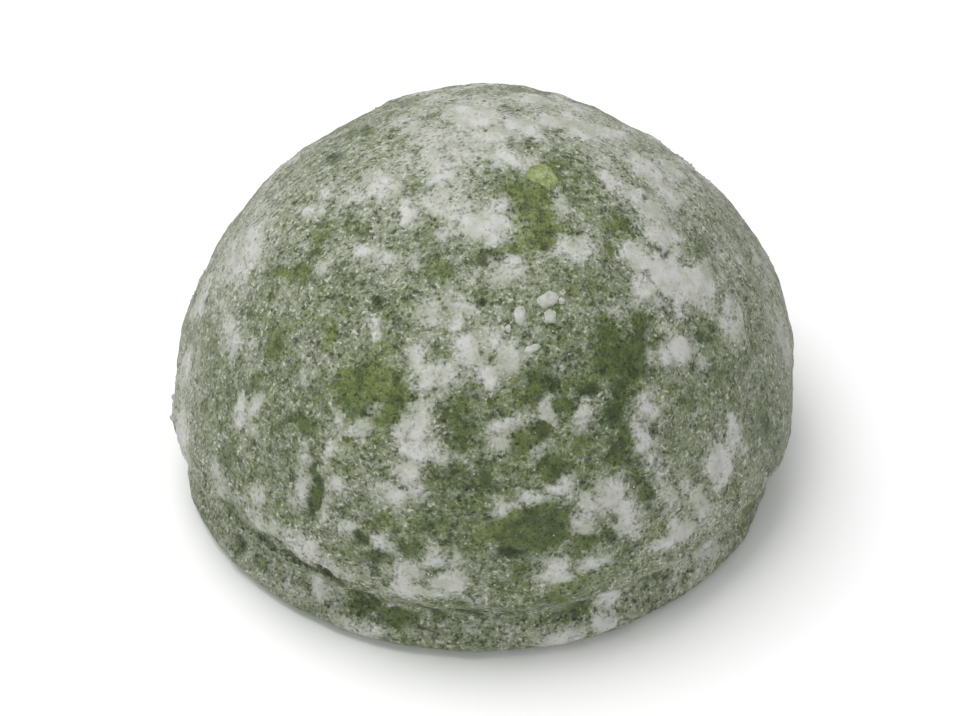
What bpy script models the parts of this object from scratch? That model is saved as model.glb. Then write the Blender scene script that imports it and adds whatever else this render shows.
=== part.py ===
# A mochi rice cake: a bun of soft pounded-rice dough, set down while warm, so that it has spread
# a little under its own weight and grown a low foot with a soft crease above it.
#
# Metres, +Z up. The front of the cake, where the crease is deepest, faces -Y. The origin is the
# middle of the cake's outline, on the surface that the cake rests on.

import math

import bmesh
import bpy
from mathutils import Matrix, Vector

MM = 0.001

# Driving dimensions of the bun.
WIDTH = 55.0 * MM           # across the belly, its widest level
HEIGHT = 35.5 * MM
BELLY_LEVEL = 7.6 * MM      # how high the belly is above the table
CREASE_LEVEL = 5.1 * MM
CREASE_INSET = 2.2 * MM     # how far the crease lies inside the belly
FOOT_LEVEL = 2.2 * MM       # the foot's rim, between the crease and the table
FOOT_INSET = 1.1 * MM
BASE_INSET = 3.1 * MM       # from the belly in to the edge of the flat underside

# How finely the turned shape is divided.
DOME_STEPS = 26
OUTLINE_STEPS = 3           # between two neighbouring points of the outline below the belly
BASE_STEPS = 4
TURN_STEPS = 80

# Swellings (+) and hollows (-) that the hands left in the dough. Bearings run from the front
# towards +X, and rises run up from the level of the belly.
#   bearing, rise and spread in degrees, push in metres
DOUGH_LUMPS = (
    (-26, -34, 17, 1.50 * MM),      # the left of the front, where the foot has spread most
    (30, -34, 20, 0.90 * MM),
    (-62, -10, 32, 0.75 * MM),
    (-84, -6, 20, 0.35 * MM),
    (64, -6, 24, 0.60 * MM),
    (46, 14, 18, -0.65 * MM),       # a thumb's hollow above the right of the front
    (104, 14, 22, 0.65 * MM),       # the right-hand shoulder
    (140, 42, 26, -0.85 * MM),      # and a flat place behind it
    (-118, 24, 26, -0.40 * MM),     # the left-hand shoulder, pressed a little flat
    (-150, 52, 24, -0.60 * MM),
    (172, 8, 30, 0.40 * MM),        # the back, where nothing flattened it
    (-24, 62, 20, -0.25 * MM),
    (0, 90, 20, -0.30 * MM),        # the crown is a little flat
)

# The crease is deep in some places and nearly smoothed out in others: bearing and spread in
# degrees, and the share of its depth that is filled in there.
CREASE_FILLS = (
    (-88, 14, 0.40),
    (8, 20, 0.35),
    (108, 30, 0.40),
    (176, 44, 0.30),
)
CREASE_REACH = 1.3 * MM     # how far above and below its level the crease is felt

# The rim of the foot wanders in and out: waves around the cake, phase in degrees, and height.
RIM_WAVES = (
    (2, 122, 1.15 * MM),            # it has spread most to the front and the back
    (3, -60, 0.60 * MM),
    (5, 110, 0.14 * MM),
    (9, 15, 0.09 * MM),
    (14, 75, 0.05 * MM),
)
RIM_REACH = 4.5 * MM        # the waves fade out this far above the table
BASE_REACH = 1.2 * MM       # and the lumps of the dough fade out towards it
AXIS_CLEAR = 0.5 * MM       # nearer than this to the axis, a point has no bearing to speak of

DOUGH_COLOUR = (0.150, 0.190, 0.080, 1.0)
DOUGH_ROUGHNESS = 0.62


def clear_scene():
    for item in list(bpy.data.objects):
        bpy.data.objects.remove(item, do_unlink=True)


def curve_through(points, steps):
    """A smooth curve (Catmull-Rom) through points, with steps short runs between neighbours."""
    first = points[0] * 2 - points[1]
    last = points[-1] * 2 - points[-2]
    ring = [first, *points, last]
    curve = []
    for p0, p1, p2, p3 in zip(ring, ring[1:], ring[2:], ring[3:]):
        for step in range(steps):
            t = step / steps
            curve.append(0.5 * (2 * p1 + (p2 - p0) * t
                                + (2 * p0 - 5 * p1 + 4 * p2 - p3) * t * t
                                + (3 * p1 - p0 - 3 * p2 + p3) * t * t * t))
    curve.append(points[-1])
    return curve


def outline():
    """The cake's outline in the XZ half-plane, from the crown down to the middle of the base."""
    belly = WIDTH / 2
    dome = []
    for step in range(DOME_STEPS):
        angle = math.pi / 2 * (1 - step / DOME_STEPS)
        rise = (HEIGHT - BELLY_LEVEL) * math.sin(angle)
        dome.append(Vector((belly * math.cos(angle), 0, BELLY_LEVEL + rise)))
    dome[0].x = 0

    def beside(inset, level):
        return Vector((belly - inset, 0, level))

    tuck = BELLY_LEVEL - CREASE_LEVEL
    flare = CREASE_LEVEL - FOOT_LEVEL
    side = curve_through([
        beside(0, BELLY_LEVEL),
        beside(0.12 * CREASE_INSET, BELLY_LEVEL - 0.40 * tuck),
        beside(0.55 * CREASE_INSET, BELLY_LEVEL - 0.78 * tuck),
        beside(CREASE_INSET, CREASE_LEVEL),
        beside(0.60 * CREASE_INSET + 0.40 * FOOT_INSET, CREASE_LEVEL - 0.32 * flare),
        beside(FOOT_INSET, FOOT_LEVEL),
        beside(0.80 * FOOT_INSET + 0.20 * BASE_INSET, 0.36 * FOOT_LEVEL),
        beside(BASE_INSET, 0),
    ], OUTLINE_STEPS)

    edge = side[-1].x
    base = [Vector((edge * (1 - step / BASE_STEPS), 0, 0)) for step in range(1, BASE_STEPS + 1)]
    return dome + side + base


def turned_bun():
    """The outline spun once round the Z axis, closed at both poles."""
    shape = bmesh.new()
    rail = [shape.verts.new(point) for point in outline()]
    for upper, lower in zip(rail, rail[1:]):
        shape.edges.new((upper, lower))
    bmesh.ops.spin(shape, geom=shape.verts[:] + shape.edges[:], cent=(0, 0, 0), axis=(0, 0, 1),
                   angle=math.tau, steps=TURN_STEPS, use_merge=True)
    bmesh.ops.remove_doubles(shape, verts=shape.verts, dist=0.01 * MM)
    bmesh.ops.recalc_face_normals(shape, faces=shape.faces)
    return shape


def bell(distance, spread):
    return math.exp(-(distance / spread) ** 2)


def turn_between(bearing, other):
    """Degrees from one bearing to another, the short way round."""
    return (bearing - other + 180) % 360 - 180


def direction(bearing, rise):
    """The unit vector at a bearing from the front and a rise above level, in degrees."""
    flat = math.cos(math.radians(rise))
    turn = math.radians(bearing)
    return Vector((flat * math.sin(turn), -flat * math.cos(turn), math.sin(math.radians(rise))))


LUMPS = [(direction(bearing, rise), spread, push) for bearing, rise, spread, push in DOUGH_LUMPS]


def dough_push(outwards):
    """How far the lumps push the surface along a direction from the heart of the cake."""
    push = 0.0
    for middle, spread, height in LUMPS:
        push += height * bell(math.degrees(outwards.angle(middle)), spread)
    return push


def crease_fill(bearing, level):
    """How far the crease is filled out again at a bearing, in metres."""
    share = sum(fill * bell(turn_between(bearing, middle), spread)
                for middle, spread, fill in CREASE_FILLS)
    return share * (CREASE_INSET - FOOT_INSET) * bell(level - CREASE_LEVEL, CREASE_REACH)


def rim_wave(bearing, level):
    """How far the rim of the foot wanders out at a bearing, in metres."""
    wave = sum(height * math.sin(math.radians(count * bearing + phase))
               for count, phase, height in RIM_WAVES)
    return wave * max(0.0, 1 - level / RIM_REACH)


def make_uneven(shape):
    """Move every point of the turned bun by the dough's lumps, the crease and the rim's waves."""
    heart = Vector((0, 0, BELLY_LEVEL))
    for vert in shape.verts:
        point = vert.co.copy()
        level = point.z
        outwards = (point - heart).normalized()
        vert.co += outwards * dough_push(outwards) * min(1.0, level / BASE_REACH)

        radius = Vector((point.x, point.y, 0))
        if radius.length < AXIS_CLEAR:
            continue
        bearing = math.degrees(math.atan2(point.x, -point.y))
        sideways = crease_fill(bearing, level) + rim_wave(bearing, level)
        vert.co += radius.normalized() * sideways * radius.length / (WIDTH / 2)


def stand_on_origin(shape):
    """Slide the bun so that its outline is centred on the origin and its base lies at height 0."""
    low = [min(vert.co[axis] for vert in shape.verts) for axis in range(3)]
    high = [max(vert.co[axis] for vert in shape.verts) for axis in range(3)]
    middle = Vector(((low[0] + high[0]) / 2, (low[1] + high[1]) / 2, low[2]))
    bmesh.ops.transform(shape, matrix=Matrix.Translation(-middle), verts=shape.verts)


def dough_material():
    material = bpy.data.materials.new("starched_dough")
    material.use_nodes = True
    surface = material.node_tree.nodes["Principled BSDF"]
    surface.inputs["Base Color"].default_value = DOUGH_COLOUR
    surface.inputs["Roughness"].default_value = DOUGH_ROUGHNESS
    surface.inputs["Metallic"].default_value = 0.0
    return material


def make_rice_cake():
    shape = turned_bun()
    make_uneven(shape)
    stand_on_origin(shape)
    mesh = bpy.data.meshes.new("rice_cake")
    shape.to_mesh(mesh)
    shape.free()
    mesh.shade_smooth()
    mesh.materials.append(dough_material())
    cake = bpy.data.objects.new("rice_cake", mesh)
    bpy.context.scene.collection.objects.link(cake)
    return cake


clear_scene()
make_rice_cake()
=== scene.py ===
# %% [markdown]
# # A herb rice cake
# The sweet is a bun of pounded rice dough, green with ground herb leaves. It was shaped by hand
# while warm and rolled in rice starch, so that it doesn't stick. So there are two stuffs to make:
# a soft, slightly moist dough with an uneven skin, and a dry white powder that lies on it as a
# thin film, as loose grains, and as caked drifts where more of it stuck.
#
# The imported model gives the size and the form. Everything here is laid over it.

# %% Load the frame
import math

import bmesh
import bpy
import numpy as np
from mathutils import Matrix, Vector, noise
from mathutils.bvhtree import BVHTree


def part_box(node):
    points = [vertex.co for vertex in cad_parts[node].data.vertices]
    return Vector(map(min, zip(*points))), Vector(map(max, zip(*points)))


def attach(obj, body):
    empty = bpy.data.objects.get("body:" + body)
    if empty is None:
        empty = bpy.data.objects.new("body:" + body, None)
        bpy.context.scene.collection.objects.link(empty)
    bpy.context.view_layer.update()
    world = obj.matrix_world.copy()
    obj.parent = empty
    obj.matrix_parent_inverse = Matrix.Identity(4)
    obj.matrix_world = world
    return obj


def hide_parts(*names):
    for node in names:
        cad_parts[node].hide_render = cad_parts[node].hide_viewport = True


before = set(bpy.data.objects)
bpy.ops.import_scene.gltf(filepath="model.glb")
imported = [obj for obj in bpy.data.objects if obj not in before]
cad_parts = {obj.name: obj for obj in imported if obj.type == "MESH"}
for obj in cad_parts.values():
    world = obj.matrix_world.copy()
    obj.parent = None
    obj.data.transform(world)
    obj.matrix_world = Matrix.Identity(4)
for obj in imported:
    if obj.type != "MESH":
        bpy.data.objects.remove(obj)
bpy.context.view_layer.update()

MM = 0.001
CAKE = "rice_cake"
low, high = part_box(CAKE)
print("the cake is", [round(side / MM, 1) for side in high - low], "mm")

# %% [markdown]
# Places on the cake are given the way a maker would point at them: how far round from the front,
# and how far up. Both are angles seen from the heart, a point on the cake's axis at the level of
# its belly. The dome above it is nearly half a ball, so one degree is about half a millimetre
# everywhere, and a patch described by two angles keeps its size wherever it sits.

# %% Bearings and rises
BELLY_LEVEL = 7.6 * MM
HEART = Vector(((low.x + high.x) / 2, (low.y + high.y) / 2, BELLY_LEVEL))
DEGREE = math.radians(1)
BALL_RADIUS = (high.z - BELLY_LEVEL + high.x - HEART.x) / 2


def toward(bearing, rise):
    """The unit direction at a bearing from the front (-Y) towards +X, and a rise, in degrees."""
    b, r = bearing * DEGREE, rise * DEGREE
    return Vector((math.sin(b) * math.cos(r), -math.cos(b) * math.cos(r), math.sin(r)))


def directions_of(points):
    """The directions from the heart to an array of points."""
    away = points - np.array(HEART)
    return away / np.linalg.norm(away, axis=1, keepdims=True)


print("one degree on the dome is", round(BALL_RADIUS * DEGREE / MM, 2), "mm")

# %% [markdown]
# Starch doesn't fall evenly. Where the dough was dipped or pressed into the tray it carries a
# caked drift, and round each drift the film is thicker. The drifts are named one by one, because
# their places are what makes this cake this one. Each is an oval. Its fullness says how closed
# the cake of starch is: above 1 it is a solid crust, near 0 about half the dough shows through in
# mottles, and below 0 only scattered islands are left.

# %% Where the starch is caked
#   bearing, rise, width, height and slant in degrees, fullness
DRIFTS = (
    # the crown and the slope behind it
    (-172, 77, 9, 14, 0, 1.8), (-160, 62, 5, 8, 0, 1.0), (-115, 82, 8, 10, 0, 0.2),
    (70, 86, 4, 9, 0, 1.6), (141, 79, 7, 6, 0, 1.3), (135, 72, 5, 6, 0, 1.3),
    (126, 68, 9, 6, 0, 1.7), (121, 61, 4, 6, 0, 0.8), (118, 78, 4, 3, 0, 0.5),
    (160, 64, 6, 7, 0, 0.9), (-130, 72, 3, 7, 0, 0.5), (180, 86, 6, 7, 0, 1.4),
    (160, 83, 5, 4, 0, 1.3), (-70, 81, 8, 4, 0, 0.9), (-95, 86, 5, 5, 0, 0.7),
    (-28, 77, 10, 5, 20, 0.5), (-2, 73, 14, 6, 0, 1.9), (-45, 71, 6, 5, 0, 1.6),
    (9, 77, 7, 3, 0, 0.5), (53, 73, 2, 5, -30, 0.8), (40, 64, 6, 4, 0, 0.6),
    (7, 64, 6, 4, 0, 0.4),
    # the upper left
    (-78, 68, 5, 11, 0, 0.8), (-70, 71, 4, 4, 0, 1.0), (-84, 60, 3, 3, 0, 0.7),
    (-80, 57, 4, 5, 0, 1.0), (-50, 61, 4, 2, 30, 0.9), (-38, 62, 5, 2, 25, 1.1),
    (-57, 54, 2, 3, 0, 1.0),
    (-85, 40, 9, 12, -20, 1.2), (-88, 25, 6, 8, 0, 0.8), (-77, 39, 3, 4, 0, 0.5),
    (-68, 31, 7, 5, 0, 0.3), (-32, 49, 2, 2, 0, 0.8),
    # the front, from the crown down to the crease
    (-17, 55, 4, 3, 0, 0.7), (-10, 57, 6, 3, 0, 0.6), (-9, 54, 2, 2, 0, 0.7),
    (-3, 49, 4, 6, 10, 1.9), (2, 51, 4, 3, 0, 1.1), (7, 48, 5, 6, 30, 1.7),
    (1, 45, 5, 3, 0, 1.4), (-18, 46, 3, 6, 0, 1.2), (-12, 44, 7, 5, 0, 0.7),
    (-15, 35, 5, 8, 0, 1.3), (-12, 31, 7, 3, -15, 1.1), (-15, 27, 3, 4, 0, 1.3),
    (-17, 22, 6, 3, 20, 1.0), (-26, 33, 4, 3, 0, 0.5), (-26, 36, 2, 2, 0, 0.8),
    (-32, 32, 2, 2, 0, 0.8), (-32, 27, 1.5, 4, 0, 0.9), (-28, 20, 2, 2, 0, 0.8),
    (-36, 18, 1.5, 4, -10, 1.0), (-31, 15, 1.5, 4, 10, 0.9), (-37, 23, 1.5, 3, 0, 0.6),
    (-26, 13, 3, 3, 0, 0.6), (-19, 12, 2, 2, 0, 0.6), (-8, 11, 7, 3, 0, 0.6),
    (-14, 6, 4, 7, 0, 1.8), (-7, 5, 6, 6, 0, 2.0), (-10, 2, 11, 2, 0, 1.1),
    (-38, 5, 16, 3, -10, 0.5), (-46, 8, 3, 5, 0, 0.5),
    # the left side
    (-55, 21, 2, 7, 0, 0.9), (-52, 25, 2, 6, 0, 0.4), (-56, 7, 4, 4, 0, 0.4),
    (-72, 4, 9, 10, 0, 1.0), (-79, 14, 5, 8, 0, 0.6),
    # the upper right, where the largest crust lies
    (100, 58, 8, 8, -40, 1.2), (107, 52, 5, 5, 0, 1.0), (92, 54, 5, 6, 0, 0.9),
    (85, 66, 4, 4, 0, 1.1),
    (83, 61, 4, 4, 0, 1.1), (79, 58, 8, 6, 0, 2.2), (71, 54, 6, 9, 10, 2.2),
    (57, 57, 4, 4, 0, 1.1), (59, 54, 5, 5, 0, 1.9), (62, 48, 9, 16, 25, 2.2), (70, 43, 7, 6, 0, 1.3),
    (49, 51, 7, 2, 0, 1.1), (50, 43, 1.5, 3, 0, 0.9), (53, 48, 1.5, 5, 20, 0.9),
    (50, 38, 8, 4, -20, 1.0),
    (70, 34, 6, 6, 0, 0.4), (42, 40, 2, 2, 0, 0.9), (55, 33, 2, 2, 0, 0.9),
    # the front right
    (15, 37, 4, 4, 0, 1.2), (5, 36, 4, 2, 0, 0.8), (22, 36, 3, 4, 0, 0.7), (3, 33, 3, 2, 0, 0.6),
    (13, 31, 3, 2, 0, 0.8), (34, 27, 3, 7, -10, 1.2), (38, 32, 2, 3, 0, 0.7),
    (15, 23, 6, 3, 0, 0.9), (4, 21, 3, 3, 0, 0.7), (10, 22, 5, 2, 0, 0.5),
    (19, 16, 5, 5, 0, 2.0), (23, 20, 7, 6, 0, 0.9), (27, 14, 3, 11, 8, 1.5),
    (50, 14, 7, 9, 15, 1.4), (56, 18, 2, 7, 0, 0.7), (44, 9, 3, 8, 20, 0.6),
    (37, 17, 1.2, 7, 0, 0.6), (37, 5, 8, 4, 15, 0.9), (13, 7, 5, 4, 0, 1.1),
    (20, 7, 4, 2, 0, 0.6), (84, 16, 6, 9, 0, 0.8),
    # the foot
    (-33, -8, 3, 3, 0, 0.9), (24, -6, 5, 5, 0, 0.9), (24, -11, 6, 3, 0, 0.6),
    (17, -11, 5, 3, 0, 1.4), (12, -13, 4, 2, 0, 0.9), (-24, -12, 5, 2, 0, 0.6),
    (48, -8, 6, 3, 0, 0.5),
    # the back, which was rolled in the same tray
    (165, 40, 12, 7, 20, 1.3), (-150, 30, 8, 12, -10, 0.8), (120, 30, 7, 6, 0, 0.9),
    (-175, 14, 14, 6, 5, 0.9), (145, 12, 5, 8, 0, 0.6), (-125, 12, 6, 5, 0, 1.1),
    (-160, 52, 6, 4, 0, 0.7), (150, 56, 8, 5, -20, 0.7), (-120, -2, 8, 4, 0, 0.7),
    (115, 0, 7, 4, 0, 0.6), (-165, -4, 9, 4, 0, 0.8), (170, 24, 4, 4, 0, 0.7),
    (108, 15, 4, 6, 0, 0.4), (-100, 16, 4, 6, 0, 0.6),
)
print(len(DRIFTS), "drifts of starch")

# %% [markdown]
# Elsewhere the dough is wiped nearly clean, and shows its real green: where fingers touched it,
# inside small hollows, and where a blister broke. Each place can also be darkened. Mostly this is
# painted shade, in the small hollows and in the crease under the belly, and partly it is the
# dough's own darker green. The tint leans to yellow where the skin is thin and to blue-green where
# whole bits of leaf lie under it.

# %% Where the dough shows
#     bearing, rise, width, height and slant in degrees, how bare, how deep (mm), dark (mostly
#     painted shade), yellow
BARE_PLACES = (
    # the crown
    (-148, 73, 6, 4, 0, 0.7, 0, 0.1, 0.2), (-118, 72, 8, 6, 0, 0.6, 0, 0.1, 0.2),
    (-105, 77, 3, 3, 0, 0.7, 0, 0.2, 0.1), (163, 73, 6, 4, 0, 0.8, 0, 0.3, 0),
    (112, 80, 4, 3, 0, 0.8, 0.06, 0.4, 0), (128, 74, 3, 4, 0, 0.7, 0, 0.2, 0),
    (150, 87, 1.5, 2, 0, 1.0, 0.10, 0.9, 0), (-178, 83, 1, 2, 0, 1.0, 0.10, 0.9, 0),
    # the upper left
    (-106, 61, 3, 5, 0, 0.7, 0.05, 0.5, 0), (-122, 62, 4, 5, 0, 0.6, 0, 0.1, 0.1),
    (-65, 48, 14, 3, 42, 0.9, 0, 0, 0.9), (-68, 56, 5, 5, 0, 0.6, 0, 0, 0.5),
    (-61, 62, 6, 4, 0, 0.6, 0, 0, 0.4), (-33, 54, 3, 3, 0, 0.9, 0.15, 0.9, -0.5),
    (-19, 64, 6, 4, 0, 0.7, 0, 0.1, 0.8), (-42, 45, 2.5, 5, 0, 0.8, 0, 0, 0.9),
    (-30, 72, 4, 3, 0, 0.6, 0, 0.1, 0.2), (-28, 47, 8, 6, 0, 0.6, 0, 0, 0.2),
    (-55, 38, 6, 6, 0, 0.5, 0, 0, 0),
    # the upper right
    (35, 76, 8, 8, 0, 1.0, 0.04, 0.1, 0.7), (27, 70, 7, 8, 0, 0.9, 0, 0.1, 0.5),
    (64, 77, 8, 6, 0, 1.0, 0, 0, 1.0),
    (10, 67, 5, 3, 0, 0.8, 0, 0.1, 0.3), (56, 75, 2, 3, -30, 1.0, 0.20, 1.0, 0),
    (38, 69, 4, 3, 0, 0.7, 0, 0.1, 0.3), (62, 62, 6, 4, 0, 0.7, 0, 0.1, 0.4),
    (50, 60, 4, 4, 0, 0.6, 0, 0, 0.3), (28, 66, 1.3, 1.3, 0, 1.0, 0.12, 1.0, 0),
    (0, 67, 4, 1.5, 0, 0.9, 0.08, 0.8, 0), (82, 59, 3, 1, 0, 0.9, 0.08, 0.8, 0),
    (66, 52, 1.2, 7, 33, 0.9, 0.08, 0.7, 0), (55, 50, 1.2, 6, 0, 0.9, 0.08, 0.6, 0),
    (54, 46, 4, 5, 0, 0.8, 0.05, 0.5, 0), (59, 37, 3, 3, 0, 0.9, 0.05, 0.6, 0),
    (80, 45, 6, 5, 0, 0.6, 0, 0.2, 0.1), (97, 36, 8, 9, 0, 0.5, 0, 0.2, 0.1),
    (84, 29, 6, 7, 0, 0.6, 0, 0, 0.3), (44, 48, 4, 6, 0, 0.8, 0, 0.2, 0.2),
    (33, 47, 8, 6, 0, 0.8, 0.03, 0.2, 0.2),
    # the front, where it was handled most
    (-26, 38, 13, 11, 0, 1.0, 0.08, 0.0, 0.3), (-22, 42, 2, 3, 0, 1.0, 0.08, 0.5, 0),
    (-5, 36, 7, 9, 0, 0.6, 0, 0.3, -0.1), (-1, 58, 1.5, 2, 0, 1.0, 0.12, 1.0, -0.3),
    (-8, 27, 8, 5, 0, 0.6, 0, 0.2, -0.1), (-10, 26, 1.5, 1.5, 0, 1.0, 0.08, 0.8, 0),
    (0, 27, 2.5, 6, 0, 0.8, 0.08, 0.6, -0.6), (36, 42, 13, 7, -15, 1.0, 0.08, 0.25, 0.1),
    (24, 39, 3.5, 3, 0, 1.0, 0.20, 1.0, 0), (32, 38, 4, 4, 0, 1.0, 0.18, 0.8, -0.2),
    (17, 41, 2.5, 4, 0, 1.0, 0.15, 0.8, -0.2), (20, 38, 6, 4, 0, 0.8, 0.04, 0.3, 0),
    (29, 34, 4, 4, 0, 0.9, 0.12, 0.7, -0.5), (13, 42, 5, 7, 0, 0.7, 0.03, 0.2, 0.2),
    (12, 34, 3, 3, 0, 0.9, 0.08, 0.7, 0), (8, 32, 5, 3, 0, 0.8, 0.02, 0.2, 0.1),
    (14, 28, 4, 5, 0, 0.8, 0.05, 0.4, 0), (28, 27, 4, 6, 0, 0.9, 0.05, 0.4, 0.1),
    (46, 29, 5, 4, 0, 0.6, 0, 0.1, 0.1), (9, 16, 15, 7, -4, 1.0, 0.08, 0.15, 0.15),
    (12, 14, 6, 4, 0, 1.0, 0.05, 0.4, 0), (5, 12, 6, 2, 8, 1.0, 0.20, 1.0, -0.2),
    (18, 12, 5, 3, 0, 0.8, 0, 0.1, 0.3), (24, 12, 3, 3, 0, 0.9, 0.04, 0.3, 0.1),
    (32, 17, 3, 5, 0, 0.9, 0.05, 0.3, 0.2),
    # the left side
    (-34, 18, 2.5, 11, 5, 1.0, 0.28, 0.3, 0), (-34, 13, 2, 4, 15, 1.0, 0.20, 1.0, -0.2),
    (-55, 14, 4, 8, 0, 0.8, 0.04, 0.1, 0.1), (-53, 28, 6, 5, 0, 0.6, 0, 0, 0.1),
    (-40, 28, 8, 4, 0, 0.6, 0, 0.1, 0.2), (-23, 12, 4, 2.5, 0, 0.9, 0.10, 0.8, 0),
    (-20, 8, 3, 3, 0, 0.7, 0.03, 0.3, 0), (-14, 12, 4, 4, 0, 0.8, 0, 0.2, 0.1),
    (66, 12, 4, 7, 0, 0.7, 0, 0.1, 0.2),
    # the crease and the foot, where the darkening is painted shade under the belly
    (-52, 2, 7, 3, -10, 0.6, 0.15, 0.5, 0), (-43, 1, 5, 2.5, -5, 0.7, 0.20, 0.6, 0),
    (-36, 1, 6, 2, -5, 0.9, 0.30, 0.9, 0), (-30, 0.5, 6, 2, -8, 0.9, 0.35, 1.0, 0),
    (-26, -2, 5, 2, -40, 0.9, 0.20, 0.9, 0), (-22, -5, 5, 2, -45, 0.8, 0.15, 0.8, 0),
    (-24, -6, 6, 5, -20, 0.7, 0.05, 0.4, 0), (-12, -4, 4, 2, 0, 0.7, 0.10, 0.7, 0),
    (-4, -5, 5, 2, 0, 0.7, 0.10, 0.7, 0), (-54, -9, 4, 3, -30, 0.8, 0.10, 0.7, 0),
    (-47, -9, 4, 3, 0, 0.8, 0, 0, 0.5), (-17, -8, 7, 4, 0, 0.9, 0, 0.2, 0.1),
    (-9, -6, 3, 2, 0, 0.6, 0, 0.3, 0), (4, -6, 4, 2, 0, 0.4, 0, 0.2, 0.2),
    (18, -7, 7, 6, 0, 0.8, 0.05, 0.4, 0), (20, -11, 2, 4, 0, 0.9, 0, 0, 0.5),
    (12, 0, 5, 3, 0, 0.7, 0.05, 0.5, 0), (35, -7, 7, 4, 0, 0.8, 0.04, 0.4, 0),
    # the back
    (-140, 45, 10, 8, 20, 0.9, 0.08, 0.1, 0.3), (150, 28, 8, 10, 0, 0.8, 0.05, 0.1, 0),
    (-170, 32, 6, 5, 0, 0.8, 0.12, 0.5, -0.3), (135, 45, 7, 6, 0, 0.7, 0, 0, 0.5),
    (-145, 5, 8, 5, 0, 0.8, 0.06, 0.2, 0.1), (165, 2, 7, 4, 0, 0.8, 0.05, 0.3, 0),
    (-108, 34, 6, 6, 0, 0.6, 0, 0, 0.2), (125, 17, 4, 6, 0, 0.8, 0.15, 0.6, -0.2),
)
print(len(BARE_PLACES), "bare places")

# %% [markdown]
# Between the drifts and the bare places lies the film, a veil one grain thick. It is thickest
# where the tray's powder lay longest, on the crown and the shoulders, and worn thin over the
# front, where the cake was picked up. It also carries painted light: it is made thicker, and so
# lighter, at the left and right rims and on the foot, as painted sheen and painted light, and
# thinner low on the front, as painted shade.

# %% How thick the film is
FILM_EVERYWHERE = 0.05
#     bearing, rise, width and height in degrees, how much more (+) or less (-) film (partly painted
#     light)
FILM_AND_PAINTED_LIGHT_PLACES = (
    (-120, 75, 60, 50, 0.32), (-90, 40, 50, 60, 0.42), (-80, 5, 50, 40, 0.42),
    (160, 70, 60, 50, 0.32), (120, 60, 60, 50, 0.34), (90, 15, 40, 60, 0.28),
    (45, 0, 50, 34, 0.20), (-40, 62, 60, 36, 0.06), (-50, 36, 40, 36, 0.04),
    (20, 33, 60, 36, -0.20), (0, 14, 70, 26, -0.20), (-45, -9, 50, 12, 0.30),
    (85, 35, 40, 50, 0.22), (105, 10, 50, 90, 0.20), (45, -9, 50, 12, 0.20),
    (5, 4, 90, 14, -0.10), (72, 10, 40, 40, 0.12), (98, 48, 40, 36, 0.12), (2, -10, 40, 8, 0.20),
)

# %% [markdown]
# Round the crease the dough dragged on the tray and is crumpled, with ridges and pits much coarser
# than elsewhere. This is drawn in the material only, as a stronger bump and stronger painted light
# and shade on the grains.

# %% Where the skin is coarse
#   bearing, rise, width and height in degrees, how much coarser
COARSE_PLACES = (
    (-46, -1, 36, 10, 1.0), (-24, -4, 22, 8, 0.8), (-62, 4, 14, 12, 0.7), (-2, -4, 30, 6, 0.5),
    (-4, 22, 14, 10, 0.4), (110, -3, 50, 8, 0.8), (-160, -2, 60, 8, 0.8),
)

# %% [markdown]
# An oval is measured in degrees from its own middle, along its own long axis. What comes back is
# how far inside it a place lies, so that every edge can be made ragged by the same noise, however
# large the oval is.

# %% Ovals on the dome
def oval_depth(directions, bearing, rise, width, height, slant=0.0):
    """How many degrees inside an oval each direction lies: above 0 inside, below 0 outside."""
    centre = toward(bearing, rise)
    east = toward(bearing + 90, 0)
    north = centre.cross(east)
    turn = slant * DEGREE
    along = east * math.cos(turn) + north * math.sin(turn)
    across = north * math.cos(turn) - east * math.sin(turn)
    ahead = directions @ np.array(centre)
    u = np.degrees(np.arctan2(directions @ np.array(along), ahead)) / (width / 2)
    v = np.degrees(np.arctan2(directions @ np.array(across), ahead)) / (height / 2)
    return (1 - np.hypot(u, v)) * min(width, height) / 2


def smooth_step(values):
    """0 below 0, 1 above 1, and an even slope between."""
    t = np.clip(values, 0, 1)
    return t * t * (3 - 2 * t)

# %% [markdown]
# All unevenness comes from one kind of noise, read in space at the place itself, with its grain
# size in metres. The kind of noise that gives a direction starts from the clock unless it gets a
# seed, so it gets one, and the cake comes out the same each time.
#
# No drift is a clean oval either. Before a place is compared with the ovals, it is pushed about
# by the same noise, in three grain sizes, so that every outline wavers, breaks up and grows
# little arms and bays.

# %% Noise in real sizes
noise.seed_set(4)
#   blotch size and reach in mm, seed
WAVER = ((4.0, 0.6, 3), (1.8, 0.6, 6), (0.8, 0.4, 9))


def seed_shift(seed):
    """Moves the noise far enough that two seeds have nothing in common."""
    return Vector((seed * 7.31, seed * -3.77, seed * 5.19))


def blotches(points, size, seed, octaves=1):
    """Smooth noise from about -1 to 1 at each point, in blotches about size across."""
    shift = seed_shift(seed)
    return np.array([1.7 * noise.fractal(Vector(point) / size + shift, 0.9, 2.1, octaves)
                     for point in points])


def wavered(points):
    """The points pushed about, so that what is read at them gets a ragged outline."""
    pushed = points.copy()
    for size, reach, seed in WAVER:
        shift = seed_shift(seed)
        pushed += reach * MM * np.array([noise.noise_vector(Vector(point) / (size * MM) + shift)
                                         for point in points])
    return pushed


def unevenness(points, recipe):
    """The sum of several noises. A recipe's rows are blotch size in mm, strength, seed, octaves."""
    return sum(strength * blotches(points, size * MM, seed, octaves)
               for size, strength, seed, octaves in recipe)


print("the crown's noise reads", round(float(blotches(np.array([[0, 0, high.z]]), 2 * MM, 1)[0]), 3))

# %% [markdown]
# Now the tables can be asked about any place. Where ovals overlap, the barest, the deepest and
# the darkest one wins, but changes to the film and to the tint add up, because they are meant to
# shade into each other.

# %% How bare, how veiled and how coarse a place is
BARE_EDGE = 0.55            # how much of its narrow side an oval takes to go from dough to starch


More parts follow.
